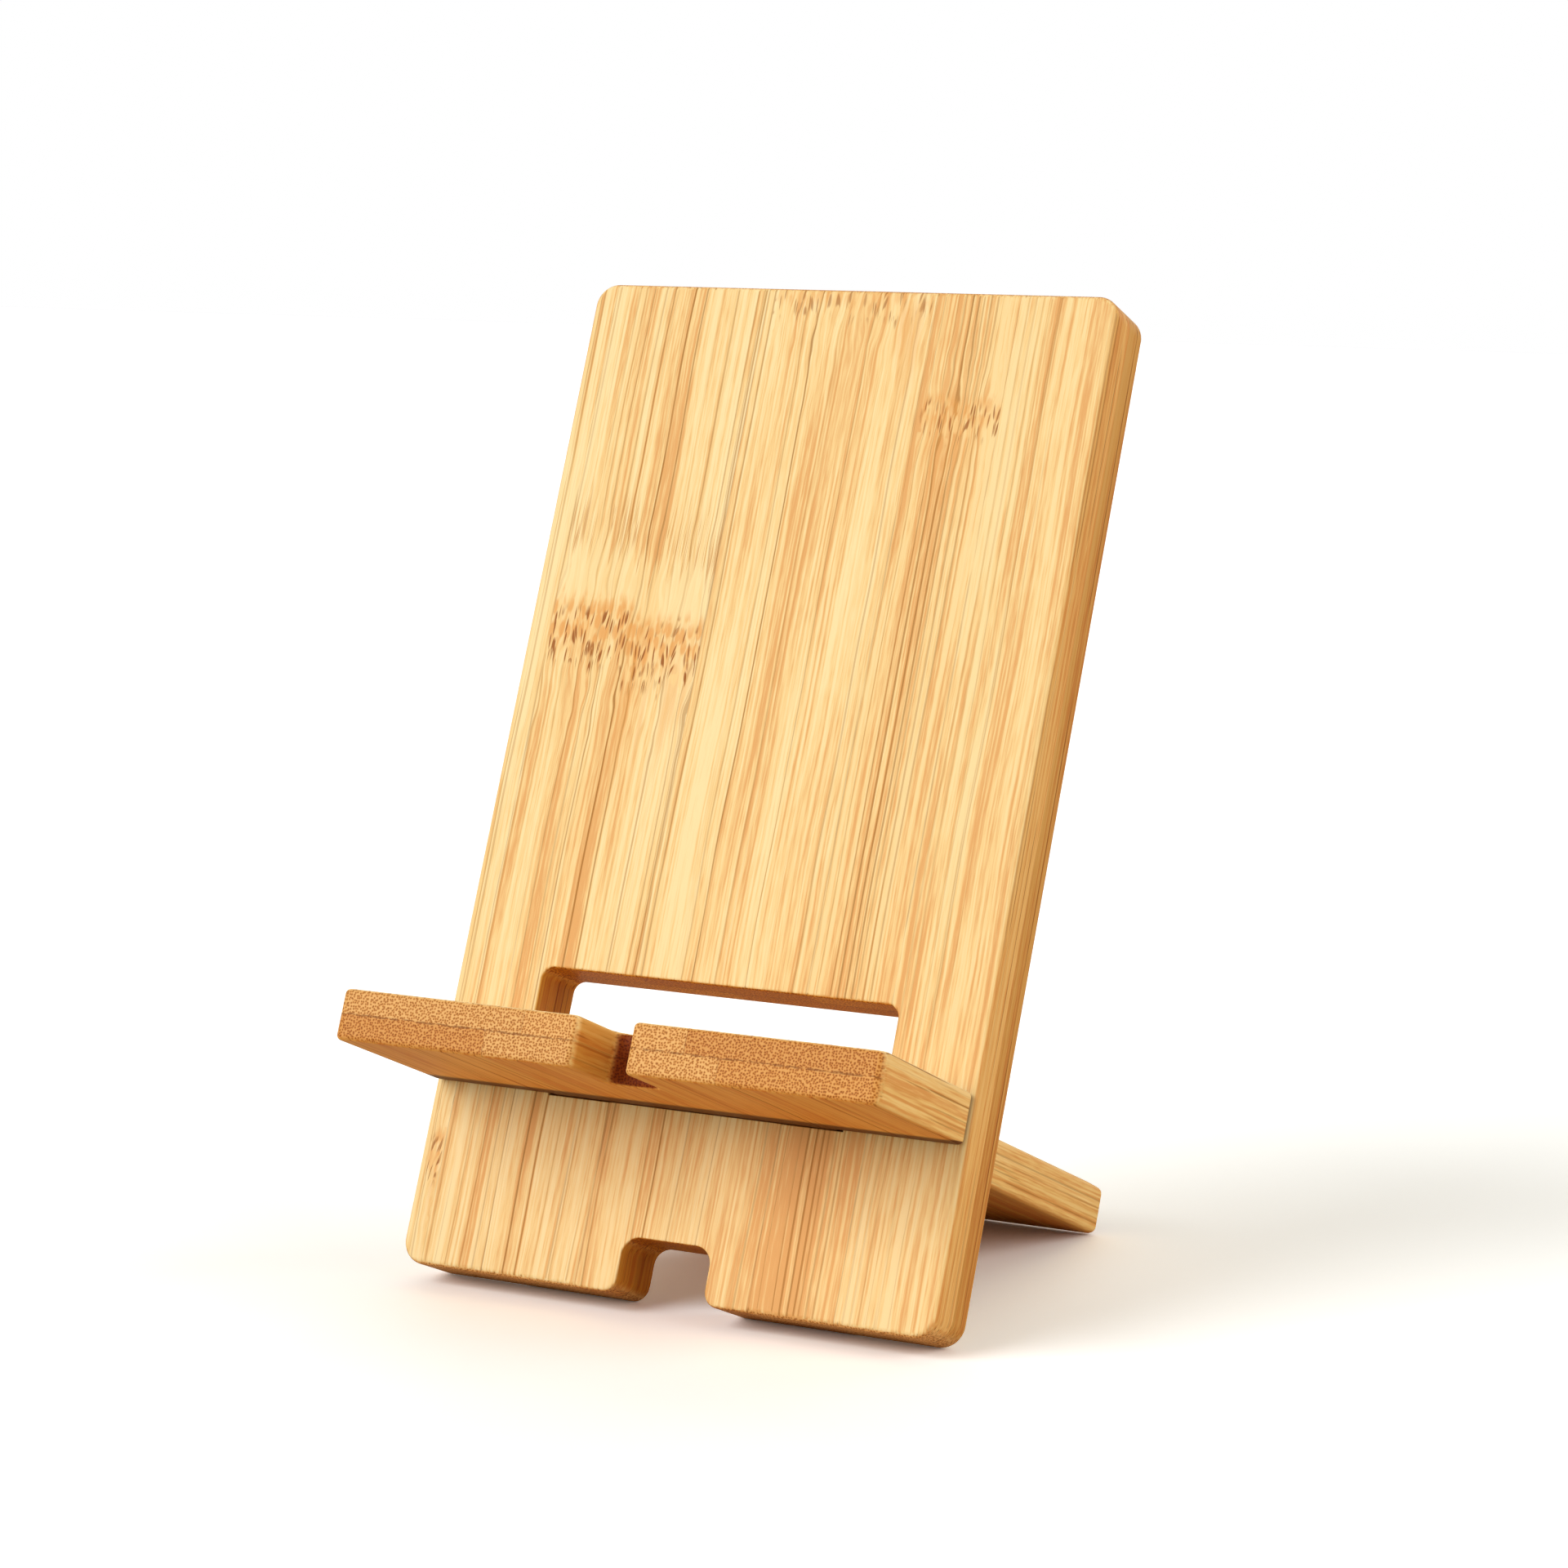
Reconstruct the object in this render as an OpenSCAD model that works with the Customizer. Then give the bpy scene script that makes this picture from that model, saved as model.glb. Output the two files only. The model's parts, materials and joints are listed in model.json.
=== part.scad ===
// Two-board phone stand in laminated bamboo.
//
// A back panel leans on a T-shaped rest board that passes through a slot in it.
// The rest board's wide head is the ledge that the phone stands on, its tail is
// the rear foot. Each board is two plies of glued strips, and each strip is a
// sub-part of its own. The boards hold each other by a notched lap: the rest
// board's neck sits in the narrow lower part of the slot, and lifts out of it
// into the wide upper part, where the tail can pass.
//
// Millimetres. X runs across the stand, the front faces -Y, Z is up and z = 0 is
// the table. The origin is under the middle of the stand.

/* [Panel] */
// Width of the panel
panel_w = 70; // [58:0.5:84]
// Height of the panel along its own slope
panel_h = 122.5; // [102:0.5:147]
// Thickness of the panel, two equal plies
panel_t = 8.4; // [7:0.1:10.1]
// Radius of the panel's four corners
panel_corner_r = 2.8; // [1:0.1:4]

/* [Slot] */
// Width of the slot's upper part, which lets the tail through
slot_w = 47; // [42:0.5:56]
// Height of the slot's top edge above the panel's foot
slot_top = 36.8; // [35.5:0.1:44]
// Height of the sill that the rest board sits on
slot_sill = 21.8; // [17.8:0.1:22.6]
// Radius of the slot's two top corners
slot_corner_r = 1.5; // [0.5:0.1:2.5]
// Width of the slot's lower part, which grips the neck
lock_w = 38.6; // [33:0.1:40]

/* [Cable notch in the panel's foot] */
// Width of the notch
foot_notch_w = 11.4; // [9.5:0.1:13.7]
// Height of the notch
foot_notch_h = 6.6; // [5.5:0.1:8]
// Radius of the notch's two inner corners
foot_notch_r = 2; // [0.5:0.1:2.5]
// Radius that rounds the notch's mouth
foot_mouth_r = 1.8; // [0.5:0.1:2.2]

/* [Rest board] */
// How far each side of the ledge stands in from the panel's side
ledge_inset = 0.2; // [0:0.1:2]
// How far the ledge stands out in front of the panel
ledge_reach = 24; // [20:0.1:29]
// Thickness of the rest board, two equal plies
board_t = 6; // [5.7:0.1:7]
// Distance from the panel's front face to the end of the tail
tail_reach = 68.5; // [56:0.5:81]
// Radius of the ledge's front corners
ledge_corner_r = 1.2; // [0.5:0.1:2.5]
// Radius of the tail's end corners
tail_corner_r = 1.2; // [0.5:0.1:2.5]

/* [Cable notch in the ledge] */
// Width of the notch
cable_notch_w = 6.9; // [5.7:0.1:8.3]
// Depth of the notch
cable_notch_d = 9.5; // [7.9:0.1:11.4]
// Radius of the notch's two inner corners
cable_notch_r = 1.5; // [0.5:0.1:2.5]
// Radius that rounds the notch's mouth
cable_mouth_r = 0.8; // [0.3:0.1:1.5]

/* [Fits] */
// Gap at each side of the neck and the tail in the slot
side_gap = 0.3; // [0.1:0.05:0.4]
// Gap between the panel's faces and the rest board's shoulders
lap_gap = 0.1; // [0.05:0.05:0.3]
// Gap between the sill and the seated rest board
seat_gap = 0.05; // [0.02:0.01:0.1]
// Height of the slot's step over the seated rest board
step_gap = 0.2; // [0.1:0.05:0.4]

/* [Strips] */
// Relative widths of the strips in the panel's front ply, from the left
face_shares = [3, 21, 22.5, 11, 12.5];
// Relative widths of the strips in the panel's back ply, from the left
back_shares = [13.5, 21.5, 21.5, 13.5];
// Relative widths of the strips in the rest board's top ply, from the left
top_shares = [24.5, 21, 24.5];
// Relative widths of the strips in the rest board's under ply, from the left
under_shares = [20, 15, 15, 20];

/* [Hidden] */
$fn = 64;

// Plies and the two boards' shared sizes
panel_ply = panel_t / 2;
board_ply = board_t / 2;
ledge_w = panel_w - 2 * ledge_inset;
board_z = slot_sill + seat_gap;
lock_top = board_z + board_t + step_gap;
neck_w = lock_w - 2 * side_gap;
tail_w = slot_w - 2 * side_gap;
neck_front = -lap_gap;
neck_back = panel_t + lap_gap;
// The stand leans until the tail's end and the panel's foot are both on the table
lean = atan(board_z / (tail_reach - panel_t));
foot_drop = panel_t * sin(lean);
front_y = board_z * sin(lean) - ledge_reach * cos(lean);
tail_y = (board_z + board_t) * sin(lean) + tail_reach * cos(lean);
crown_y = panel_h * sin(lean) + panel_t * cos(lean);
middle_y = (front_y + max(tail_y, crown_y)) / 2;
// How far a cutter runs past what it cuts
over = 1;

// Sum of the first n shares
function share_sum(shares, n) = n == 0 ? 0 : shares[n - 1] + share_sum(shares, n - 1);
// Place across the board of the n-th joint between strips, 0 at the left edge
function joint_x(shares, n, width) = width * (share_sum(shares, n) / share_sum(shares, len(shares)) - 0.5);

// Rectangle centred on X that stands on y = 0, with its own radius at the foot and at the top
module rounded_plate(w, h, foot_r, top_r) {
    union() {
        translate([-w / 2, foot_r]) square([w, h - foot_r - top_r]);
        translate([-w / 2 + foot_r, 0]) square([w - 2 * foot_r, h / 2]);
        translate([-w / 2 + top_r, h / 2]) square([w - 2 * top_r, h / 2]);
        for (side = [-1, 1]) {
            translate([side * (w / 2 - foot_r), foot_r]) circle(foot_r);
            translate([side * (w / 2 - top_r), h - top_r]) circle(top_r);
        }
    }
}

// Notch cut upwards into an edge on y = 0, with round inner corners and a flared mouth
module notch(w, depth, inner_r, mouth_r) {
    union() {
        translate([-w / 2, -over]) square([w, over + depth - inner_r]);
        translate([-w / 2 + inner_r, 0]) square([w - 2 * inner_r, depth]);
        for (side = [-1, 1]) {
            translate([side * (w / 2 - inner_r), depth - inner_r]) circle(inner_r);
            difference() {
                translate([side * (w / 2 + mouth_r / 2), mouth_r / 2 - over / 2])
                    square([mouth_r, mouth_r + over], center = true);
                translate([side * (w / 2 + mouth_r), mouth_r]) circle(mouth_r);
            }
        }
    }
}

// The slot: a wide upper part over a narrow lock
module slot() {
    union() {
        translate([-slot_w / 2, lock_top]) square([slot_w, slot_top - slot_corner_r - lock_top]);
        translate([-slot_w / 2 + slot_corner_r, lock_top])
            square([slot_w - 2 * slot_corner_r, slot_top - lock_top]);
        for (side = [-1, 1])
            translate([side * (slot_w / 2 - slot_corner_r), slot_top - slot_corner_r])
                circle(slot_corner_r);
        translate([-lock_w / 2, slot_sill]) square([lock_w, lock_top - slot_sill + over / 2]);
    }
}

// Outline of the panel, seen from the front, foot on y = 0
module panel_outline() {
    difference() {
        rounded_plate(panel_w, panel_h, panel_corner_r, panel_corner_r);
        slot();
        notch(foot_notch_w, foot_notch_h, foot_notch_r, foot_mouth_r);
    }
}

// Outline of the rest board, seen from above, panel's front face on y = 0
module board_outline() {
    difference() {
        union() {
            translate([0, -ledge_reach])
                rounded_plate(ledge_w, ledge_reach + neck_front, ledge_corner_r, ledge_corner_r);
            translate([-neck_w / 2, neck_front - over]) square([neck_w, neck_back - neck_front + 2 * over]);
            translate([0, neck_back])
                rounded_plate(tail_w, tail_reach - neck_back, ledge_corner_r, tail_corner_r);
        }
        translate([0, -ledge_reach]) notch(cable_notch_w, cable_notch_d, cable_notch_r, cable_mouth_r);
    }
}

// Keeps the part of an outline between two joints, and between two places along the board
module between(x0, x1, y0, y1) {
    intersection() {
        children();
        translate([x0, y0]) square([x1 - x0, y1 - y0]);
    }
}

// Leans what is built upright and sets it on the table
module standing() {
    translate([0, -middle_y, foot_drop]) rotate([-lean, 0, 0]) children();
}

// One strip of a panel ply. Outer strips run past the outline's edges.
module panel_strip(shares, n, depth, y0 = -over, y1 = panel_h + over) {
    standing()
        translate([0, depth + panel_ply, 0])
            rotate([90, 0, 0])
                linear_extrude(panel_ply)
                    between(joint_x(shares, n - 1, panel_w), joint_x(shares, n, panel_w), y0, y1)
                        panel_outline();
}

// One strip of a rest board ply
module board_strip(shares, n, level) {
    standing()
        translate([0, 0, board_z + level])
            linear_extrude(board_ply)
                between(joint_x(shares, n - 1, ledge_w), joint_x(shares, n, ledge_w),
                        -ledge_reach - over, tail_reach + over)
                    board_outline();
}

// A strip that the slot cuts through is two pieces, which would meet at this height
split_z = lock_top;

// Front ply of the panel
module face_strip(n) panel_strip(face_shares, n, 0);
module face_strip_over(n) panel_strip(face_shares, n, 0, y0 = split_z);
module face_strip_under(n) panel_strip(face_shares, n, 0, y1 = split_z);
module face_strip_edge() color("#e2b878") face_strip(1);
module face_strip_left() color("#dcae6c") face_strip(2);
module face_strip_middle() color("#e8c289") face_strip_over(3);
module face_strip_middle_foot() color("#e8c289") face_strip_under(3);
module face_strip_right() color("#dbab69") face_strip_over(4);
module face_strip_right_foot() color("#dbab69") face_strip_under(4);
module face_strip_outer() color("#e6bd80") face_strip(5);

// Back ply of the panel
module back_strip(n) panel_strip(back_shares, n, panel_ply);
module back_strip_over(n) panel_strip(back_shares, n, panel_ply, y0 = split_z);
module back_strip_under(n) panel_strip(back_shares, n, panel_ply, y1 = split_z);
module back_strip_left() color("#c99555") back_strip(1);
module back_strip_inner_left() color("#d2a062") back_strip_over(2);
module back_strip_inner_left_foot() color("#d2a062") back_strip_under(2);
module back_strip_inner_right() color("#c6914f") back_strip_over(3);
module back_strip_inner_right_foot() color("#c6914f") back_strip_under(3);
module back_strip_right() color("#cf9c5c") back_strip(4);

// Top ply of the rest board
module rest_top_strip_left() color("#d8a766") board_strip(top_shares, 1, board_ply);
module rest_top_strip_middle() color("#e0b374") board_strip(top_shares, 2, board_ply);
module rest_top_strip_right() color("#d3a060") board_strip(top_shares, 3, board_ply);

// Under ply of the rest board
module rest_under_strip_left() color("#dfb173") board_strip(under_shares, 1, 0);
module rest_under_strip_inner_left() color("#d6a564") board_strip(under_shares, 2, 0);
module rest_under_strip_inner_right() color("#dcae6e") board_strip(under_shares, 3, 0);
module rest_under_strip_right() color("#d1a05f") board_strip(under_shares, 4, 0);

face_strip_edge();
face_strip_left();
face_strip_middle();
face_strip_middle_foot();
face_strip_right();
face_strip_right_foot();
face_strip_outer();
back_strip_left();
back_strip_inner_left();
back_strip_inner_left_foot();
back_strip_inner_right();
back_strip_inner_right_foot();
back_strip_right();
rest_top_strip_left();
rest_top_strip_middle();
rest_top_strip_right();
rest_under_strip_left();
rest_under_strip_inner_left();
rest_under_strip_inner_right();
rest_under_strip_right();
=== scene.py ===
"""Phone stand: a leaning bamboo panel and the T-shaped rest board that slots through it.

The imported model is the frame. Each glued strip is built again from its CAD node with eased outer
edges, and gets its own bamboo. The upright frame is the stand turned until the panel stands
plumb and the rest board lies level. Lengths are metres unless a name or comment says millimetres.
"""

import json
import math

import bpy
import bmesh
from mathutils import Matrix, Vector


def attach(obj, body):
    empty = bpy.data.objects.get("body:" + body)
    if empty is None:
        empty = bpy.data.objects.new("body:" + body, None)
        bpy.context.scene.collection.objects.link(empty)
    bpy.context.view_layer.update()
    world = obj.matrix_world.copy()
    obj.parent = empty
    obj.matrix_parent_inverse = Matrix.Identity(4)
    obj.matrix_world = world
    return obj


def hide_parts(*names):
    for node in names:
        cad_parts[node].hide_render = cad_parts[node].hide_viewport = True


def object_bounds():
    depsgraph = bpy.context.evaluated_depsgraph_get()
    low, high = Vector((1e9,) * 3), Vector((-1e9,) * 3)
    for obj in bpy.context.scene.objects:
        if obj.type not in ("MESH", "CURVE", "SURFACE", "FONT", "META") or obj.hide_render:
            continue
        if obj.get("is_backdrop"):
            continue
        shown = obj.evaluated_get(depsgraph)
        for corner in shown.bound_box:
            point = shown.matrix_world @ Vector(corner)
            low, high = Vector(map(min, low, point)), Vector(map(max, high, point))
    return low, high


MM = 0.001

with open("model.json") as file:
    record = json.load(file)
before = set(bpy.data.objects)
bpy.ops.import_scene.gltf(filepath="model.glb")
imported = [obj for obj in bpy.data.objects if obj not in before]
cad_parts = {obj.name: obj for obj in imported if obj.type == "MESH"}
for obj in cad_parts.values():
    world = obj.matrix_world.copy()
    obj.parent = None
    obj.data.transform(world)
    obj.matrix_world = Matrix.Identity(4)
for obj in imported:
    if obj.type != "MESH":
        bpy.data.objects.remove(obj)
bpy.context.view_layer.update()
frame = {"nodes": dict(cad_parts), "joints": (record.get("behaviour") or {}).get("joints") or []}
NODES = frame["nodes"]
LIFT_AXIS = Vector(frame["joints"][0]["axis"])
# The panel leans back by this angle, and the rest board slopes down to the rear by it
LEAN = math.atan2(LIFT_AXIS.y, LIFT_AXIS.z)
UPRIGHT = Matrix.Rotation(LEAN, 4, "X")


def upright_box(names):
    """Lowest and highest corner of these CAD nodes together, in the upright frame."""
    points = [UPRIGHT @ v.co for name in names for v in NODES[name].data.vertices]
    lo = Vector([min(p[i] for p in points) for i in range(3)])
    hi = Vector([max(p[i] for p in points) for i in range(3)])
    return lo, hi


PANEL_NAMES = [n for n in sorted(NODES) if n.startswith(("face_strip", "back_strip"))]
BOARD_NAMES = [n for n in sorted(NODES) if n.startswith("rest_")]
PANEL_LO, PANEL_HI = upright_box(PANEL_NAMES)
BOARD_LO, BOARD_HI = upright_box(BOARD_NAMES)
# The upright place of the panel's front face, against which the ledge bears
PANEL_FRONT = PANEL_LO.y
OUT_FRONT = Vector((0, -1, 0))
OUT_BACK = Vector((0, 1, 0))
OUT_TOP = Vector((0, 0, 1))
OUT_UNDER = Vector((0, 0, -1))


# ---------------------------------------------------------------- camera, light and floor

WHITE = (1.0, 1.0, 1.0, 1.0)
BLACK = (0.0, 0.0, 0.0, 1.0)
WARM = (1.0, 0.87, 0.68, 1.0)
# The table throws back warm light, and the camera alone sees the second colour added to it, so
# that the table meets the white surround
TABLE = (0.62, 0.52, 0.40, 1.0)
TABLE_ADDED = (0.66, 0.80, 0.93, 1.0)
TABLE_ROUGHNESS = 0.6
TABLE_HALF_WIDTH = 12.0


def direction(azimuth, elevation):
    """Unit vector from the stand, in degrees: azimuth 0 is the front and 90 the right."""
    a = math.radians(azimuth)
    e = math.radians(elevation)
    return Vector((math.sin(a) * math.cos(e), -math.cos(a) * math.cos(e), math.sin(e)))


def facing(back):
    """Turn of a camera or lamp whose back points this way."""
    return (-back).to_track_quat("-Z", "Y")


def make_camera():
    """Low three-quarter view from the front right."""
    aim = Vector((-0.0005, -0.0007, 0.0595))
    distance = 0.5072
    roll = Matrix.Rotation(math.radians(1.48), 3, "Z")
    back = direction(azimuth=27.78, elevation=6.51)
    data = bpy.data.cameras.new("camera")
    data.sensor_width = 36.0
    data.lens = 98.2
    data.clip_start = 0.01
    data.clip_end = 30.0
    camera = bpy.data.objects.new("camera", data)
    bpy.context.scene.collection.objects.link(camera)
    camera.location = aim + back * distance
    camera.rotation_mode = "QUATERNION"
    camera.rotation_quaternion = facing(back) @ roll.to_quaternion()
    bpy.context.scene.camera = camera


def make_softbox(name, azimuth, elevation, strength, softness):
    """Soft lamp that shines from this direction. Softness is its width in degrees."""
    data = bpy.data.lights.new(name, "SUN")
    data.energy = strength
    data.angle = math.radians(softness)
    lamp = bpy.data.objects.new(name, data)
    bpy.context.scene.collection.objects.link(lamp)
    lamp.rotation_mode = "QUATERNION"
    lamp.rotation_quaternion = facing(direction(azimuth, elevation))


def make_surround(strength):
    """Soft warm light from all round, which the camera sees as plain white."""
    world = bpy.data.worlds.new("studio")
    bpy.context.scene.world = world
    world.use_nodes = True
    graph = Graph(world.node_tree)
    light = world.node_tree.nodes["Background"]
    light.inputs["Color"].default_value = WARM
    light.inputs["Strength"].default_value = strength
    white = graph.node("ShaderNodeBackground")
    white.inputs["Color"].default_value = WHITE
    path = graph.node("ShaderNodeLightPath")
    mix = graph.node("ShaderNodeMixShader")
    graph.put(path.outputs["Is Camera Ray"], mix.inputs["Fac"])
    graph.put(light.outputs["Background"], mix.inputs[1])
    graph.put(white.outputs["Background"], mix.inputs[2])
    graph.put(mix.outputs["Shader"], world.node_tree.nodes["World Output"].inputs["Surface"])


def white_table():
    """Pale matt table top that keeps shadows."""
    material = bpy.data.materials.new("white_table")
    material.use_nodes = True
    graph = Graph(material.node_tree)
    shader = material.node_tree.nodes["Principled BSDF"]
    shader.inputs["Base Color"].default_value = TABLE
    shader.inputs["Roughness"].default_value = TABLE_ROUGHNESS
    added = graph.node("ShaderNodeBsdfDiffuse")
    path = graph.node("ShaderNodeLightPath")
    seen = graph.mixed(path.outputs["Is Camera Ray"], BLACK, TABLE_ADDED)
    graph.put(seen, added.inputs["Color"])
    both = graph.node("ShaderNodeAddShader")
    graph.put(shader.outputs["BSDF"], both.inputs[0])
    graph.put(added.outputs["BSDF"], both.inputs[1])
    surface = material.node_tree.nodes["Material Output"].inputs["Surface"]
    graph.put(both.outputs["Shader"], surface)
    return material


def make_floor(height):
    """Plain table top at this height."""
    half = TABLE_HALF_WIDTH
    corners = [(x * half, y * half, height) for x, y in ((-1, -1), (1, -1), (1, 1), (-1, 1))]
    mesh = bpy.data.meshes.new("floor")
    mesh.from_pydata(corners, [], [(0, 1, 2, 3)])
    mesh.materials.append(white_table())
    floor = bpy.data.objects.new("floor", mesh)
    bpy.context.scene.collection.objects.link(floor)
    floor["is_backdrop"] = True


# ---------------------------------------------------------------- node helpers


class Graph:
    """Adds nodes to a tree. Any argument is a socket, to link, or a value, to set."""

    def __init__(self, tree):
        self.tree = tree

    def put(self, value, socket):
        if isinstance(value, bpy.types.NodeSocket):
            self.tree.links.new(value, socket)
        else:
            socket.default_value = value

    def node(self, kind, **settings):
        made = self.tree.nodes.new(kind)
        for name, value in settings.items():
            setattr(made, name, value)
        return made

    def maths(self, operation, *values, clamp=False):
        made = self.node("ShaderNodeMath", operation=operation, use_clamp=clamp)
        for value, socket in zip(values, made.inputs):
            self.put(value, socket)
        return made.outputs[0]

    def product(self, *values):
        result = values[0]
        for value in values[1:]:
            result = self.maths("MULTIPLY", result, value)
        return result

    def total(self, *values):
        result = values[0]
        for value in values[1:]:
            result = self.maths("ADD", result, value)
        return result

    def less(self, value, taken):
        return self.maths("SUBTRACT", value, taken)

    def apart(self, value, other):
        """How far one value is from the other."""
        return self.maths("ABSOLUTE", self.less(value, other))

    def vector_maths(self, operation, first, second):
        made = self.node("ShaderNodeVectorMath", operation=operation)
        self.put(first, made.inputs[0])
        self.put(second, made.inputs[1])
        return made.outputs[0]

    def split(self, vector):
        made = self.node("ShaderNodeSeparateXYZ")
        self.put(vector, made.inputs[0])
        return made.outputs

    def joined(self, x, y, z):
        made = self.node("ShaderNodeCombineXYZ")
        for value, socket in zip((x, y, z), made.inputs):
            self.put(value, socket)
        return made.outputs[0]

    def noise(self, vector, frequency, detail=2.0, roughness=0.5):
        """Noise of this many waves a millimetre in X, Y and Z, about 0.5 on average."""
        made = self.node("ShaderNodeTexNoise")
        self.put(self.vector_maths("MULTIPLY", vector, frequency), made.inputs["Vector"])
        made.inputs["Scale"].default_value = 1.0
        made.inputs["Detail"].default_value = detail
        made.inputs["Roughness"].default_value = roughness
        return made.outputs["Fac"]

    def cells(self, x, y, frequency, randomness):
        """Scattered cells, this many a millimetre over X and Y.

        They are the distance to the nearest middle, and three values of that cell's own.
        """
        made = self.node("ShaderNodeTexVoronoi", feature="F1", voronoi_dimensions="2D")
        scaled = self.vector_maths("MULTIPLY", self.joined(x, y, 0.0), (*frequency, 1.0))
        self.put(scaled, made.inputs["Vector"])
        made.inputs["Scale"].default_value = 1.0
        made.inputs["Randomness"].default_value = randomness
        return made.outputs["Distance"], self.split(made.outputs["Color"])

    def fade(self, value, start, end):
        """Smoothly 0 to 1 as value goes from start to end, in either order."""
        rising = start < end
        made = self.node("ShaderNodeMapRange", interpolation_type="SMOOTHSTEP")
        self.put(value, made.inputs["Value"])
        made.inputs["From Min"].default_value = min(start, end)
        made.inputs["From Max"].default_value = max(start, end)
        made.inputs["To Min"].default_value = 0.0 if rising else 1.0
        made.inputs["To Max"].default_value = 1.0 if rising else 0.0
        return made.outputs["Result"]

    def swing(self, value, amount):
        """A noise's swing about its average, times amount."""
        return self.product(self.less(value, 0.5), amount)

    def ramp(self, value, stops):
        made = self.node("ShaderNodeValToRGB")
        elements = made.color_ramp.elements
        for (place, colour), element in zip(stops, elements):
            element.position = place
            element.color = colour
        for place, colour in stops[len(elements) :]:
            elements.new(place).color = colour
        self.put(value, made.inputs["Fac"])
        return made.outputs["Color"]

    def mixed(self, factor, first, second, blend="MIX"):
        made = self.node("ShaderNodeMix", data_type="RGBA", blend_type=blend, clamp_factor=True)
        self.put(factor, made.inputs["Factor"])
        self.put(first, made.inputs[6])
        self.put(second, made.inputs[7])
        return made.outputs[2]

    def tinted(self, factor, colour, tint):
        return self.mixed(factor, colour, tint, blend="MULTIPLY")


def new_group(name, inputs, outputs):
    """Empty shader node group: its Graph, its inputs by name and its output node's sockets."""
    tree = bpy.data.node_groups.new(name, "ShaderNodeTree")
    for socket, kind in inputs:
        tree.interface.new_socket(socket, in_out="INPUT", socket_type=f"NodeSocket{kind}")
    for socket, kind in outputs:
        tree.interface.new_socket(socket, in_out="OUTPUT", socket_type=f"NodeSocket{kind}")
    graph = Graph(tree)
    return graph, graph.node("NodeGroupInput").outputs, graph.node("NodeGroupOutput").inputs


def use_group(graph, group, **values):
    """The outputs of a group placed in graph."""
    made = graph.node("ShaderNodeGroup", node_tree=group)
    for name, value in values.items():
        graph.put(value, made.inputs[name])
    return made.outputs


def floats(*names):
    """Number sockets of a group, by name."""
    return [(name, "Float") for name in names]


def rgb(red, green, blue):
    """Scene-linear colour from the eight-bit values that a screen shows."""
    channels = [c / 255 for c in (red, green, blue)]
    linear = [c / 12.92 if c <= 0.04045 else ((c + 0.055) / 1.055) ** 2.4 for c in channels]
    return (*linear, 1.0)


# ---------------------------------------------------------------- grain of the bamboo

# How far a seed's grain lies from the next seed's, in millimetres
SEED_SHIFT = (37.0, 11.0, 53.0)
KNUCKLE_SEED_SHIFT = 19.0
SEAM_SEED_SHIFT = 23.0
# Streaks of tone: waves a millimetre across and along the fibres, and how strong they are
STREAKS = {
    "broad": (0.22, 0.010, 1.4),
    "narrow": (1.15, 0.014, 1.3),
    "thin": (2.7, 0.03, 2.1),
    "hair": (5.5, 0.30, 1.0),
}
MIDDLE_TONE = 0.42


def dark_bundles(graph, x, y, fibres):
    """A few thick dark bundles of fibre, which come and go along the strip."""
    distance, own = graph.cells(x, y, (1.1, 1.1), randomness=0.85)
    presence = graph.fade(graph.noise(fibres, (0.6, 0.6, 0.020)), 0.26, 0.42)
    strength = graph.total(graph.product(own[0], 0.75), 0.25)
    return graph.product(graph.fade(distance, 0.17, 0.10), strength, presence)


def fine_bundles(graph, x, y, fibres):
    """Finer and fainter bundles between the dark ones."""
    distance, own = graph.cells(y, x, (1.7, 1.7), randomness=0.85)
    presence = graph.fade(graph.noise(fibres, (0.8, 0.8, 0.03)), 0.40, 0.60)
    return graph.product(graph.fade(distance, 0.20, 0.10), own[0], presence, 0.75)


def bundle_ends(graph, x, y, fibres):
    """Cut ends of the bundles, small, close and not quite round, and the pale pith round them."""
    jitter = graph.swing(graph.noise(fibres, (3.0, 3.0, 0.01)), 0.16)
    ragged_x = graph.total(x, jitter)
    ragged_y = graph.less(y, jitter)
    distance, own = graph.cells(ragged_x, ragged_y, (3.1, 3.1), randomness=0.8)
    depth = graph.total(graph.product(own[1], 0.4), 0.6)
    return graph.product(graph.fade(distance, 0.34, 0.20), depth), graph.fade(distance, 0.34, 0.58)


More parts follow.
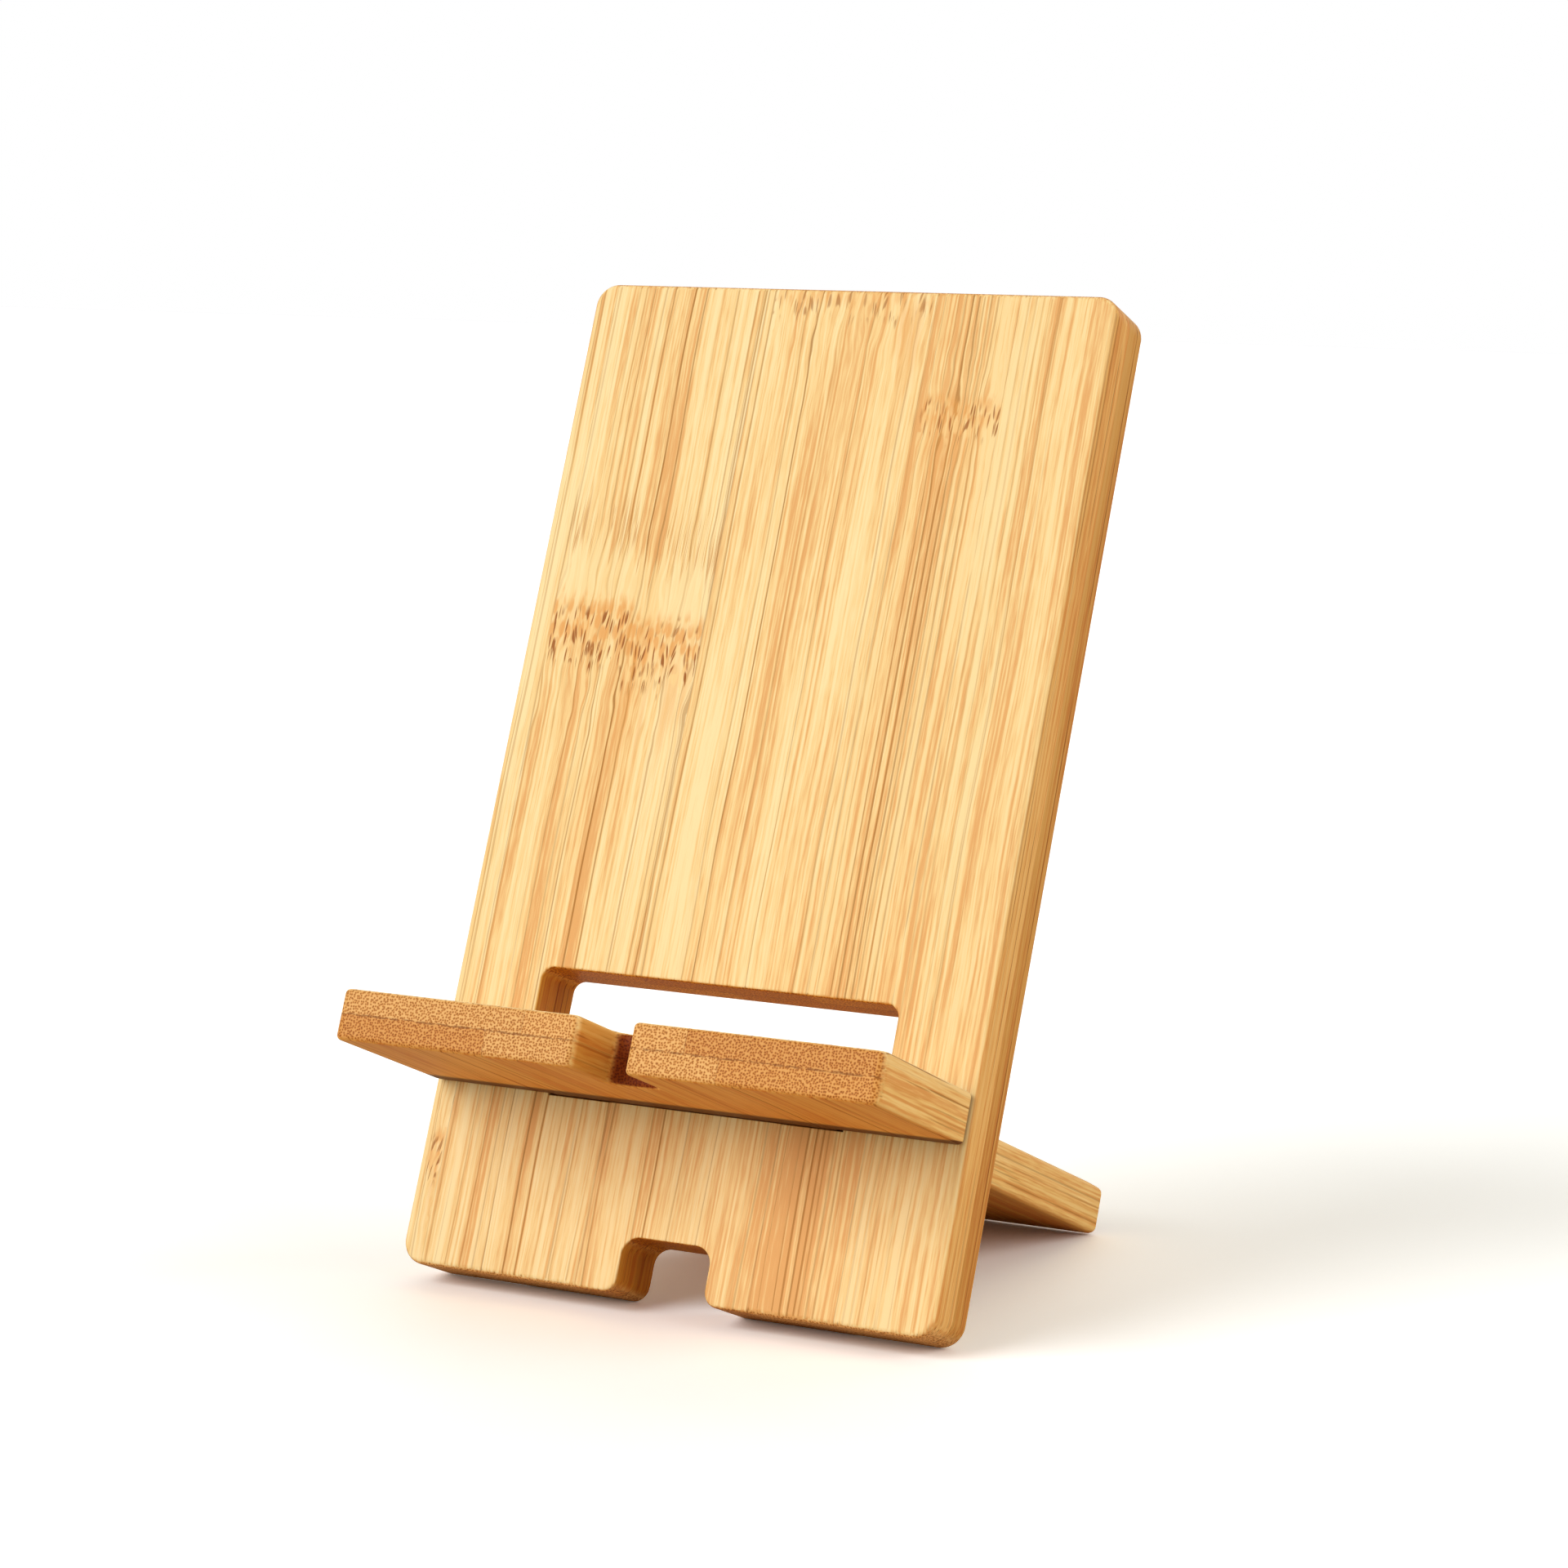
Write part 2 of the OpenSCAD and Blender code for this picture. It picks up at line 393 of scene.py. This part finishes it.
def make_grain_group():
    """Bamboo as a solid whose fibres run along Z, so that long faces show lines and ends dots.

    Place is (across, through, along) in millimetres. Tone runs from pale to tan, Fibre marks the
    dark fibre bundles and how strong each is, Cut marks the bundles on an end and Pith the pale
    cells round them, and Height is for a bump.
    """
    graph, given, out = new_group(
        "bamboo_grain",
        [("Place", "Vector"), ("Seed", "Float")],
        floats("Tone", "Fibre", "Cut", "Pith", "Height"),
    )
    seeds = graph.joined(given["Seed"], given["Seed"], given["Seed"])
    shift = graph.vector_maths("MULTIPLY", seeds, SEED_SHIFT)
    place = graph.vector_maths("ADD", given["Place"], shift)
    x, y, z = graph.split(place)
    sway = graph.noise(place, (0.08, 0.08, 0.03), detail=1.0)
    x = graph.total(x, graph.swing(sway, 1.2))
    fibres = graph.joined(x, y, z)
    streaks = {}
    swings = []
    for streak, (across, along, strength) in STREAKS.items():
        streaks[streak] = graph.noise(fibres, (across, across, along), detail=1.0)
        swings.append(graph.swing(streaks[streak], strength))
    tone = graph.maths("ADD", graph.total(*swings), MIDDLE_TONE, clamp=True)
    dark = dark_bundles(graph, x, y, fibres)
    fibre = graph.maths("MAXIMUM", dark, fine_bundles(graph, x, y, fibres))
    cut, pith = bundle_ends(graph, x, y, fibres)
    graph.put(tone, out["Tone"])
    graph.put(fibre, out["Fibre"])
    graph.put(cut, out["Cut"])
    graph.put(pith, out["Pith"])
    graph.put(graph.less(streaks["hair"], fibre), out["Height"])
    return graph.tree


# ---------------------------------------------------------------- joints of the culm


class Knuckle:
    """Marks of a joint of the culm, and the places in its group that they are drawn from."""

    def __init__(self, graph, given):
        self.graph = graph
        self.across, self.through, self.along = graph.split(given["Place"])
        self.x = graph.total(self.across, graph.product(given["Seed"], KNUCKLE_SEED_SHIFT))
        self.solid = graph.joined(self.x, self.through, self.along)
        # The same all along the strip, for edges that are ragged only across it
        self.flat = graph.joined(self.x, self.through, 0.0)
        self.past_step = graph.fade(graph.less(self.across, given["Step"]), -0.4, 0.4)
        middle = graph.less(given["Along"], graph.product(self.past_step, given["Drop"]))
        wave = graph.noise(self.flat, (0.45, 0.1, 1.0), detail=1.0)
        middle = graph.total(middle, graph.swing(wave, 3.0))
        # Height above the joint, in lengths that grow with Size
        self.rise = graph.maths("DIVIDE", graph.less(self.along, middle), given["Size"])
        self.inside = self.between(given["Left"], given["Right"])
        # The same height made ragged, for the points in which the fibres stop
        self.points = graph.noise(self.flat, (0.85, 0.2, 1.0), detail=2.0, roughness=0.6)
        self.above = graph.total(self.rise, graph.swing(self.points, 26.0))
        # Dashes lean this way and that, in rows with a ragged edge
        tilt = graph.swing(graph.noise(self.flat, (0.5, 0.2, 1.0)), 1.6)
        self.dash_x = graph.total(self.x, graph.product(self.rise, tilt))
        edge = self.ragged_rise((1.0, 0.2, 1.0), 9.0)
        self.rows = graph.product(
            self.inside, graph.fade(edge, 3.2, 1.4), graph.fade(edge, -5.6, -3.6)
        )

    def between(self, left, right):
        """1 from one end of the joint to the other, as ragged there as the fibres are."""
        graph = self.graph
        fray = graph.swing(graph.noise(self.solid, (0.4, 0.2, 0.45)), 1.6)
        past_left = graph.less(graph.total(self.across, fray), left)
        before_right = graph.less(graph.total(right, fray), self.across)
        return graph.product(graph.fade(past_left, -0.1, 0.5), graph.fade(before_right, -0.1, 0.5))

    def ragged_rise(self, frequency, amount):
        """Height above the joint, up and down by amount from one fibre to the next."""
        wave = self.graph.noise(self.flat, frequency)
        return self.graph.total(self.rise, self.graph.swing(wave, amount))

    def bent(self):
        """The place, swerved near the joint."""
        graph = self.graph
        reach = graph.product(
            self.inside, graph.fade(graph.maths("ABSOLUTE", self.rise), 22.0, 3.0)
        )
        wave = graph.noise(self.solid, (0.40, 0.3, 0.09))
        swerve = graph.product(reach, graph.swing(wave, 2.6))
        return graph.joined(graph.total(self.across, swerve), self.through, self.along)

    def clear(self):
        """Pale fringe above the joint, clear of dark fibres."""
        graph = self.graph
        below_points = graph.fade(self.above, 11.5, 9.5)
        return graph.product(self.inside, below_points, graph.fade(self.rise, 2.0, 4.5))

    def tips(self):
        """Strokes in which the fibres end at the top of the fringe."""
        graph = self.graph
        slant = graph.product(self.rise, graph.swing(self.points, 1.2))
        place = graph.joined(graph.total(self.x, slant), self.through, self.along)
        strokes = graph.fade(graph.noise(place, (1.9, 0.5, 0.07)), 0.50, 0.60)
        ends = graph.product(graph.fade(self.above, 19.0, 13.5), graph.fade(self.above, 8.5, 11.0))
        return graph.product(self.inside, ends, strokes)

    def wash(self):
        """Orange ovals that run together under a soft edge."""
        graph = self.graph
        distance, _ = graph.cells(self.x, self.along, (1.05, 0.40), randomness=0.85)
        edge = self.ragged_rise((1.3, 0.2, 1.0), 5.0)
        band = graph.product(graph.fade(edge, 4.8, 2.2), graph.fade(edge, -3.6, -0.6))
        ovals = graph.maths("ADD", graph.fade(distance, 0.55, 0.22), 0.22, clamp=True)
        return graph.product(self.inside, band, ovals)

    def fleck(self):
        """Slender dark dashes."""
        graph = self.graph
        distance, own = graph.cells(self.dash_x, self.along, (2.3, 0.28), randomness=1.0)
        strong = graph.fade(own[0], 0.12, 0.5)
        return graph.product(self.rows, strong, graph.fade(distance, 0.34, 0.18))

    def painted_highlight(self):
        """Painted highlights: pale slivers between the dark dashes."""
        graph = self.graph
        distance, own = graph.cells(self.dash_x, self.along, (1.6, 0.30), randomness=1.0)
        bright = graph.fade(own[1], 0.25, 0.6)
        return graph.product(self.rows, bright, graph.fade(distance, 0.42, 0.26))

    def smear(self):
        """Stain that trails down from the joint, past its step."""
        graph = self.graph
        below = graph.fade(self.rise, -1.0, -3.5)
        trail = graph.product(graph.fade(self.above, -24.0, -6.0), below)
        streak = graph.fade(graph.noise(self.solid, (0.7, 0.5, 0.04)), 0.42, 0.60)
        return graph.product(self.inside, self.past_step, trail, streak)


def make_knuckle_group():
    """Joint of the culm: where the fibres swerve, end in a pale fringe and leave dark flecks.

    Along is its middle along the strip, and Left and Right are its ends across it. Past Step,
    the joint lies lower by Drop. All are in millimetres, at a Size of 1. Bent is the place,
    swerved.
    """
    graph, given, out = new_group(
        "bamboo_knuckle",
        [("Place", "Vector")] + floats("Seed", "Along", "Left", "Right", "Step", "Drop", "Size"),
        [("Bent", "Vector")] + floats("Clear", "Tips", "Wash", "Fleck", "Highlight", "Smear"),
    )
    knuckle = Knuckle(graph, given)
    graph.put(knuckle.bent(), out["Bent"])
    graph.put(knuckle.clear(), out["Clear"])
    graph.put(knuckle.tips(), out["Tips"])
    graph.put(knuckle.wash(), out["Wash"])
    graph.put(knuckle.fleck(), out["Fleck"])
    graph.put(knuckle.painted_highlight(), out["Highlight"])
    graph.put(knuckle.smear(), out["Smear"])
    return graph.tree


# ---------------------------------------------------------------- glue lines

# Half width of a glue line where it has faded away and where it is full, in millimetres
SIDE_LINE = (0.16, 0.04)
PLY_LINE = (0.20, 0.06)


def make_seam_group():
    """Thin broken glue line of a strip, where it meets its neighbours and the other ply.

    Place is from the strip's own corner, Left and Right are where its neighbours begin across
    the board, and Inner is where, through the board, the other ply begins. All are millimetres.
    """
    graph, given, out = new_group(
        "glue_seam",
        [("Place", "Vector")] + floats("Left", "Right", "Inner", "Seed"),
        floats("Side", "Between"),
    )
    x, y, z = graph.split(given["Place"])
    shifted_x = graph.total(x, graph.product(given["Seed"], SEAM_SEED_SHIFT))
    shifted = graph.joined(shifted_x, y, z)
    broken = graph.fade(graph.noise(shifted, (0.9, 0.9, 0.10)), 0.38, 0.56)
    from_left = graph.apart(x, given["Left"])
    from_side = graph.maths("MINIMUM", from_left, graph.apart(x, given["Right"]))
    graph.put(graph.product(graph.fade(from_side, *SIDE_LINE), broken), out["Side"])
    wave = graph.swing(graph.noise(shifted, (0.6, 0.2, 0.6)), 0.12)
    from_ply = graph.total(graph.apart(y, given["Inner"]), wave)
    graph.put(graph.product(graph.fade(from_ply, *PLY_LINE), broken), out["Between"])
    return graph.tree


GRAIN = make_grain_group()
KNUCKLE = make_knuckle_group()
SEAM = make_seam_group()


# ---------------------------------------------------------------- colours and plies

# Long faces, from the palest to the tan streaks, and what lies on them
PALE = rgb(255, 230, 173)
HONEY = rgb(248, 213, 146)
TAN = rgb(232, 175, 106)
BUNDLE = rgb(168, 112, 46)
FRINGE = rgb(206, 146, 76)
WASH = rgb(234, 168, 90)
FLECK = rgb(164, 98, 34)
# Painted highlight on pale slivers at a joint
SLIVER_HIGHLIGHT = rgb(252, 216, 148)
# Ends of the fibres
END_GROUND = rgb(220, 158, 88)
END_PITH = rgb(246, 202, 136)
END_BUNDLE = rgb(146, 86, 30)
GLUE = rgb(128, 72, 24)
# Painted shade where the ledge bears on the panel
SHOULDER_SHADE = rgb(78, 36, 12)
# How the ends of one strip differ from the next
END_TINTS = [rgb(244, 222, 188), rgb(252, 244, 230), rgb(255, 246, 230), rgb(238, 214, 180)]
# Painted shade on the walls inside the slot and the notches, darker and browner there
RECESS_SHADE = {"panel": rgb(228, 200, 124), "rest_board": rgb(228, 204, 158)}
# They lie this near the board's middle and its foot or front, in millimetres
CUTS_REACH = {"panel": 27.0, "rest_board": 6.0}
CUTS_HEIGHT = {"panel": 50.0, "rest_board": 15.0}
# Painted shade on the inmost wall of the ledge's notch
NOTCH_END_SHADE = rgb(176, 124, 78)
# Width of the painted shade line where the ledge bears on the panel, and what is added to it
# underneath, in millimetres
SHOULDER_SHADE_WIDTH = 1.1
SHOULDER_SHADE_UNDER = 3.4

PLAIN_ROUGHNESS = 0.50
FIBRE_ROUGHNESS = 0.12
GLOSS = 0.16
RELIEF = 0.05 * MM
RELIEF_STRENGTH = 0.4


class Ply:
    """One layer of a board: its strips' body, slot, place, tone and tints. Its slot is not used.
    """

    def __init__(self, key, start, body, outward, slot, seed, tone=0.0, side=WHITE, flat=WHITE):
        self.key = key
        self.names = [n for n in sorted(NODES) if n.startswith(start)]
        self.body = body
        self.outward = outward
        self.slot = slot
        self.seed = seed
        self.tone = tone
        self.side = side
        self.flat = flat
        self.upright = body == "panel"
        self.lo, self.hi = upright_box(self.names)
        board_box = (PANEL_LO, PANEL_HI) if self.upright else (BOARD_LO, BOARD_HI)
        self.board_lo, self.board_hi = board_box


FACE = Ply(
    "face", "face_strip", "panel", OUT_FRONT, "face_bamboo", seed=1, side=rgb(246, 220, 184)
)
BACK = Ply(
    "back", "back_strip", "panel", OUT_BACK, "back_bamboo", seed=9,
    tone=0.10, side=rgb(222, 188, 138),
)
TOP = Ply(
    "top", "rest_top_strip", "rest_board", OUT_TOP, "rest_top_bamboo", seed=17,
    side=rgb(255, 240, 216),
)
# Its flat faces take a darker, warmer tint: painted shade on the rest board's underside
UNDER = Ply(
    "under", "rest_under_strip", "rest_board", OUT_UNDER, "rest_under_bamboo", seed=25,
    tone=0.12, side=rgb(252, 236, 206), flat=rgb(240, 196, 134),
)
# Joints of the culm on the panel's front, in millimetres from its left edge and its foot
KNUCKLES = {
    "face_strip_edge": dict(Along=13.0, Left=0.9, Right=3.0, Step=2.0, Drop=0.0, Size=0.8),
    "face_strip_left": dict(Along=78.5, Left=2.6, Right=24.3, Step=14.0, Drop=2.0, Size=1.0),
    "face_strip_middle": dict(Along=122.5, Left=25.2, Right=46.2, Step=40.0, Drop=0.0, Size=0.8),
    "face_strip_right": dict(Along=107.3, Left=47.3, Right=58.2, Step=47.0, Drop=0.0, Size=0.62),
}
# How much of the pale fringe, the orange wash and the dark flecks each joint shows
SHOWN = {
    "face_strip_edge": dict(fringe=0.2, wash=0.7, flecks=0.9),
    "face_strip_left": dict(fringe=1.0, wash=0.85, flecks=1.0),
    "face_strip_middle": dict(fringe=0.3, wash=0.5, flecks=0.65),
    "face_strip_right": dict(fringe=0.15, wash=0.6, flecks=0.85),
}
# How much darker some strips of the front are than the others, partly painted shade
STRIP_TONES_AND_SHADE = {
    "face_strip_edge": -0.05,
    "face_strip_right": 0.26,
    # The strips below the slot are tanner partly for streaks of their own and partly as painted
    # shade under the ledge
    "face_strip_right_foot": 0.44,
    "face_strip_middle_foot": 0.16,
    "face_strip_outer": 0.15,
}

SAME_PLACE = 0.02 * MM
# Farther across than any strip, in millimetres
FAR_AWAY = 500.0


# ---------------------------------------------------------------- bamboo of one strip


def board_turned(graph, ply, output):
    """Mapping node that turns object coordinates or normals to (across, through, along)."""
    made = graph.node("ShaderNodeMapping", vector_type="POINT")
    graph.put(graph.node("ShaderNodeTexCoord").outputs[output], made.inputs["Vector"])
    angle = LEAN if ply.upright else LEAN + math.pi / 2
    made.inputs["Rotation"].default_value = (angle, 0.0, 0.0)
    return made


def board_place(graph, ply, corner):
    """Place on a board, (across, through, along) from this corner in millimetres."""
    made = board_turned(graph, ply, "Object")
    if not ply.upright:
        corner = Vector((corner.x, -corner.z, corner.y))
    made.inputs["Scale"].default_value = (1 / MM, 1 / MM, 1 / MM)
    made.inputs["Location"].default_value = -corner / MM
    return made.outputs["Vector"]


def knuckle_marks(graph, colour, marks, fringe, wash, flecks):
    """Colour with a joint's marks over it, one after the other."""
    layers = [
        ("Tips", 0.7 * fringe, FRINGE),
        ("Smear", 0.40, WASH),
        ("Wash", wash, WASH),
        ("Highlight", 0.65 * flecks, SLIVER_HIGHLIGHT),
        ("Fleck", flecks, FLECK),
    ]
    for mark, strength, over in layers:
        colour = graph.mixed(graph.product(marks[mark], strength), colour, over)
    return colour


def long_faces(graph, name, ply, grain, marks):
    """Colour of the faces along the fibres, and the dark fibre that shows in them."""
    tone = graph.maths("ADD", grain["Tone"], ply.tone + STRIP_TONES_AND_SHADE.get(name, 0.0), clamp=True)
    fibre = grain["Fibre"]
    if marks is not None:
        kept = graph.less(1.0, graph.product(marks["Clear"], 0.45 * SHOWN[name]["fringe"]))
        tone = graph.product(tone, kept)
        fibre = graph.product(fibre, kept)
    colour = graph.ramp(tone, [(0.0, PALE), (0.5, HONEY), (1.0, TAN)])
    colour = graph.mixed(graph.product(fibre, 0.82), colour, BUNDLE)
    if marks is not None:
        colour = knuckle_marks(graph, colour, marks, **SHOWN[name])
    return colour, fibre


def cut_ends(graph, grain, seed):
    """Colour of the faces across the fibres."""
    ground = graph.mixed(graph.product(grain["Pith"], 0.8), END_GROUND, END_PITH)
    colour = graph.mixed(graph.product(grain["Cut"], 0.85), ground, END_BUNDLE)
    return graph.tinted(1.0, colour, END_TINTS[seed % len(END_TINTS)])


def glue_lines(graph, colour, name, ply, seed, on_end):
    """Colour with the glue lines to the strip's neighbours and, on an end, to the other ply."""
    strip_lo, strip_hi = upright_box([name])
    size = (strip_hi - strip_lo) / MM
    inner = {"face": size.y, "back": 0.0, "top": 0.0, "under": -size.z}[ply.key]
    # A strip at the board's side has no neighbour there
    left = 0.0 if strip_lo.x > ply.lo.x + SAME_PLACE else -FAR_AWAY
    right = size.x if strip_hi.x < ply.hi.x - SAME_PLACE else FAR_AWAY
    place = board_place(graph, ply, strip_lo)
    sizes = dict(Left=left, Right=right, Inner=inner)
    seam = use_group(graph, SEAM, Place=place, Seed=float(seed), **sizes)
    colour = graph.mixed(graph.product(seam["Between"], on_end, 0.7), colour, GLUE)
    return graph.mixed(graph.product(seam["Side"], 0.35), colour, GLUE)


def near_cuts(graph, ply, x, z):
    """1 near the board's slot or notch, where painted shade goes on the walls, and 0 towards its
    sides and its far end.
    """
    from_middle = graph.apart(x, (ply.board_hi.x - ply.board_lo.x) / 2 / MM)
    reach = CUTS_REACH[ply.body]
    height = CUTS_HEIGHT[ply.body]
    across = graph.fade(from_middle, reach, reach - 1.0)
    return graph.product(across, graph.fade(z, height, height - 1.0))


def painted_shoulder_shade(graph, colour, z, normal):
    """Colour with a painted shade line where the ledge bears on the panel, wider underneath."""
    from_panel = graph.less((PANEL_FRONT - BOARD_LO.y) / MM, z)
    underneath = graph.fade(normal[1], 0.3, 0.9)
    width = graph.total(graph.product(underneath, SHOULDER_SHADE_UNDER), SHOULDER_SHADE_WIDTH)
    line = graph.fade(graph.maths("DIVIDE", from_panel, width), 1.0, 0.6)
    in_front = graph.fade(from_panel, -1.0, 0.0)
    return graph.mixed(graph.product(line, in_front, 0.9), colour, SHOULDER_SHADE)


def put_surface(graph, shader, grain, marks, fibre, on_end):
    """Roughness, gloss and the fine relief of the fibres, their ends and the flecks."""
    roughness = graph.total(graph.product(fibre, FIBRE_ROUGHNESS), PLAIN_ROUGHNESS)
    graph.put(roughness, shader.inputs["Roughness"])
    shader.inputs["Specular IOR Level"].default_value = GLOSS
    height = graph.less(grain["Height"], graph.product(grain["Cut"], on_end, 0.8))
    if marks is not None:
        height = graph.less(height, graph.product(marks["Fleck"], 0.15))
    bump = graph.node("ShaderNodeBump")
    bump.inputs["Strength"].default_value = RELIEF_STRENGTH
    bump.inputs["Distance"].default_value = RELIEF
    graph.put(height, bump.inputs["Height"])
    graph.put(bump.outputs["Normal"], shader.inputs["Normal"])


def bamboo(name, ply, seed):
    """Bamboo of one strip, whose grain runs along its board."""
    material = bpy.data.materials.new("bamboo_" + name)
    material.use_nodes = True
    graph = Graph(material.node_tree)
    shader = material.node_tree.nodes["Principled BSDF"]
    place = board_place(graph, ply, ply.board_lo)
    x, _, z = graph.split(place)
    normal = graph.split(board_turned(graph, ply, "Normal").outputs["Vector"])
    on_side = graph.fade(graph.maths("ABSOLUTE", normal[0]), 0.35, 0.95)
    on_end = graph.fade(graph.maths("ABSOLUTE", normal[2]), 0.45, 0.85)
    marks = None
    if name in KNUCKLES:
        marks = use_group(graph, KNUCKLE, Place=place, Seed=float(seed), **KNUCKLES[name])
        place = marks["Bent"]
    grain = use_group(graph, GRAIN, Place=place, Seed=float(seed))
    colour, fibre = long_faces(graph, name, ply, grain, marks)
    colour = graph.tinted(1.0, colour, graph.mixed(on_side, ply.flat, ply.side))
    colour = graph.mixed(on_end, colour, cut_ends(graph, grain, seed))
    colour = glue_lines(graph, colour, name, ply, seed, on_end)
    # Painted shade along the ledge where it bears on the panel
    if not ply.upright:
        colour = painted_shoulder_shade(graph, colour, z, normal)
    cuts = near_cuts(graph, ply, x, z)
    walls = graph.maths("MAXIMUM", on_side, on_end)
    # Painted shade on the walls inside the slot and the notches
    recess_shade = graph.product(walls, cuts, graph.fade(z, 0.3, 1.4))
    colour = graph.tinted(recess_shade, colour, RECESS_SHADE[ply.body])
    if not ply.upright:
        # Painted shade, deeper on the inmost wall of the ledge's notch
        notch_end_shade = graph.product(cuts, on_end, graph.fade(z, 5.0, 8.0))
        colour = graph.tinted(notch_end_shade, colour, NOTCH_END_SHADE)
    graph.put(colour, shader.inputs["Base Color"])
    put_surface(graph, shader, grain, marks, fibre, on_end)
    return material


# ---------------------------------------------------------------- strips

SQUARE_EDGE = math.radians(40)
FLAT_EDGE = math.radians(0.5)
WELD = 0.002 * MM
# A rim's bevel weight is its radius in this unit
EASE_UNIT = 1.0 * MM
EASE_SEGMENTS = 5
# Radii of the rims
OUTLINE_EASE = 0.7
CUTS_EASE = 0.4
SILL_EASE = 0.15
BOARD_EASE = 0.6
TAIL_EASE = 1.0
# The panel's outline lies this near its sides, and this near its top and foot
OUTLINE_SIDE = 3.5 * MM
OUTLINE_END = 2.9 * MM
# The slot's sill lies between these heights above the panel's foot
SILL_FROM = 12.0 * MM
SILL_TO = 26.0 * MM
# The end of the rest board's tail is farther than this behind the panel's front
TAIL_END = 50.0 * MM


def joint_places(ply):
    """Where, across the board, one strip of a ply meets the next."""
    ends = {round(end.x, 6) for name in ply.names for end in upright_box([name])}
    return [x for x in ends if ply.lo.x + SAME_PLACE < x < ply.hi.x - SAME_PLACE]


def is_rim(edge, outward, joints):
    """Whether the outer face turns here into a wall of its board, and not into the next strip."""
    if len(edge.link_faces) != 2:
        return False
    wall, face = sorted(edge.link_faces, key=lambda f: f.normal.dot(outward))
    if face.normal.dot(outward) < 0.99 or abs(wall.normal.dot(outward)) > 0.01:
        return False
    x = wall.calc_center_median().x
    faces_sideways = abs(wall.normal.x) > 0.999
    return not (faces_sideways and any(abs(x - joint) < SAME_PLACE for joint in joints))


def panel_ease(point):
    """Radius of the panel's rim: its outline is well rounded, its slot and notch less."""
    from_side = min(point.x - PANEL_LO.x, PANEL_HI.x - point.x)
    from_end = min(point.z - PANEL_LO.z, PANEL_HI.z - point.z)
    if from_side < OUTLINE_SIDE or from_end < OUTLINE_END:
        return OUTLINE_EASE
    if SILL_FROM < point.z - PANEL_LO.z < SILL_TO:
        return SILL_EASE
    return CUTS_EASE


def board_ease(point):
    """Radius of the rest board's rim: the end of its tail is rounder than the rest."""
    return TAIL_EASE if point.y - PANEL_FRONT > TAIL_END else BOARD_EASE


def eased_mesh(name, ply, joints):
    """The strip's CAD mesh again, with a bevel weight on each rim of its board."""
    ease = panel_ease if ply.upright else board_ease
    bm = bmesh.new()
    bm.from_mesh(NODES[name].data)
    bm.transform(UPRIGHT)
    bmesh.ops.remove_doubles(bm, verts=bm.verts, dist=WELD)
    bmesh.ops.dissolve_limit(bm, angle_limit=FLAT_EDGE, verts=bm.verts, edges=bm.edges)
    bm.normal_update()
    weight = bm.edges.layers.float.new("bevel_weight_edge")
    for face in bm.faces:
        face.smooth = True
    for edge in bm.edges:
        if is_rim(edge, ply.outward, joints):
            edge[weight] = ease((edge.verts[0].co + edge.verts[1].co) / 2)
        elif edge.calc_face_angle(0.0) > SQUARE_EDGE:
            edge.smooth = False
    bm.transform(UPRIGHT.inverted())
    mesh = bpy.data.meshes.new(name + "_eased")
    bm.to_mesh(mesh)
    bm.free()
    return mesh


def make_strip(name, ply, joints, seed):
    """One strip in its bamboo, with its board's outer edges rounded over."""
    mesh = eased_mesh(name, ply, joints)
    mesh.materials.append(bamboo(name, ply, seed))
    piece = bpy.data.objects.new(name + "_eased", mesh)
    bpy.context.scene.collection.objects.link(piece)
    rounded = piece.modifiers.new("eased_edges", "BEVEL")
    rounded.limit_method = "WEIGHT"
    rounded.width = EASE_UNIT
    rounded.segments = EASE_SEGMENTS
    level = piece.modifiers.new("even_normals", "WEIGHTED_NORMAL")
    level.keep_sharp = True
    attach(piece, ply.body)
    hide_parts(name)


def make_strips():
    """Every strip of both boards, each with its own bamboo."""
    for ply in (FACE, BACK, TOP, UNDER):
        joints = joint_places(ply)
        for name in ply.names:
            # A strip that the slot cuts in two keeps one grain
            seed = ply.seed + ply.names.index(name.removesuffix("_foot"))
            make_strip(name, ply, joints, seed)


make_camera()
make_surround(strength=0.26)
make_softbox("key", azimuth=-30, elevation=30, strength=2.15, softness=40)
make_softbox("fill", azimuth=95, elevation=24, strength=1.42, softness=60)
make_softbox("rear", azimuth=196, elevation=26, strength=0.85, softness=80)
make_strips()
make_floor(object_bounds()[0].z)

bpy.context.scene.view_settings.view_transform = "Standard"
